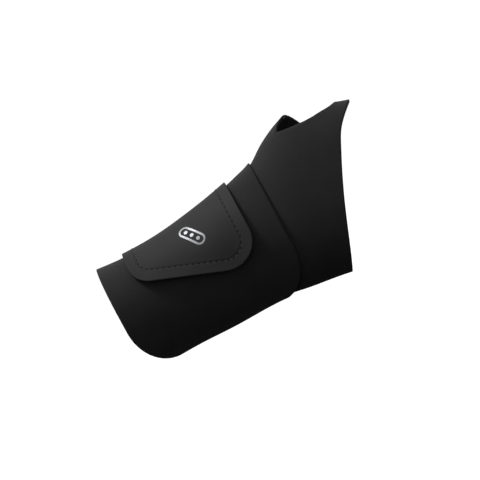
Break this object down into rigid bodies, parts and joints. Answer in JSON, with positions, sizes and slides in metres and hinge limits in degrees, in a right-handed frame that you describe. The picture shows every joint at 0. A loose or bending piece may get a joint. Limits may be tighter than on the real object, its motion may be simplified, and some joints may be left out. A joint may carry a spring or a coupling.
{
  "type": "wrist splint",
  "caption": "Soft laminated wrist splint with thumb hole, wrap-round hook-and-loop closing tab and removable palm stay.",
  "frame": {"origin": "centre of the wrist inside the splint", "axes": "+X along the forearm towards the fingers, +Z towards the thumb side, -Y towards the back of the hand"},
  "size_m": [0.1506, 0.0497, 0.0857],
  "materials": {
    "face_knit": "fine matt knit",
    "loop_face": "brushed loop knit",
    "lining_knit": "matt knit",
    "foam_core": "closed-cell foam",
    "tab_fabric": "smooth matt",
    "tab_backing": "stiff felt",
    "hook_plastic": "moulded hooks",
    "thread": "polyester thread",
    "silver_print": "silver transfer print",
    "pocket_knit": "woven",
    "stay_metal": "brushed",
    "tip_plastic": "dipped vinyl"
  },
  "bodies": {
    "gauntlet": {"gauntlet_lining": "lining_knit", "gauntlet_foam": "foam_core", "gauntlet_face": "face_knit", "gauntlet_seam_stitching": "thread", "wrap_panel_lining": "lining_knit", "wrap_panel_foam": "foam_core", "wrap_panel_face": "loop_face", "wrap_panel_stitching": "thread", "stay_pocket": "pocket_knit"},
    "ulnar_strap": {"ulnar_strap_lining": "lining_knit", "ulnar_strap_foam": "foam_core", "ulnar_strap_face": "loop_face"},
    "palm_strap": {"palm_strap_lining": "lining_knit", "palm_strap_foam": "foam_core", "palm_strap_face": "loop_face", "tab_neck": "tab_fabric", "tab_neck_stitching": "thread"},
    "tab": {"tab_backing": "tab_backing", "tab_cover": "tab_fabric", "hook_patch": "hook_plastic", "tab_stitching": "thread", "printed_mark": "silver_print"},
    "stay": {"palm_stay": "stay_metal", "stay_tips": "tip_plastic"}
  },
  "joints": [
    {"name": "strap_open", "type": "hinge", "parent": "gauntlet", "child": "ulnar_strap", "pos_m": [0, 0.00015, -0.0337], "axis": [-1, 0, 0], "range_deg": [0, 42]},
    {"name": "strap_unroll", "type": "hinge", "parent": "ulnar_strap", "child": "palm_strap", "pos_m": [0, 0.0258, 0.00015], "axis": [-1, 0, 0], "range_deg": [0, 71.4]},
    {"name": "tab_peel", "type": "hinge", "parent": "palm_strap", "child": "tab", "pos_m": [-0.0241, -0.00015, 0.0291], "axis": [-0.9925, 0, -0.1219], "range_deg": [0, 109.2]},
    {"name": "stay_slide", "type": "slide", "parent": "gauntlet", "child": "stay", "axis": [-1, 0, 0], "range_m": [0, 0.11]}
  ],
  "couplings": [
    {"joint": "strap_unroll", "follows": "strap_open", "ratio": 1.7},
    {"joint": "tab_peel", "follows": "strap_open", "ratio": 2.6}
  ]
}
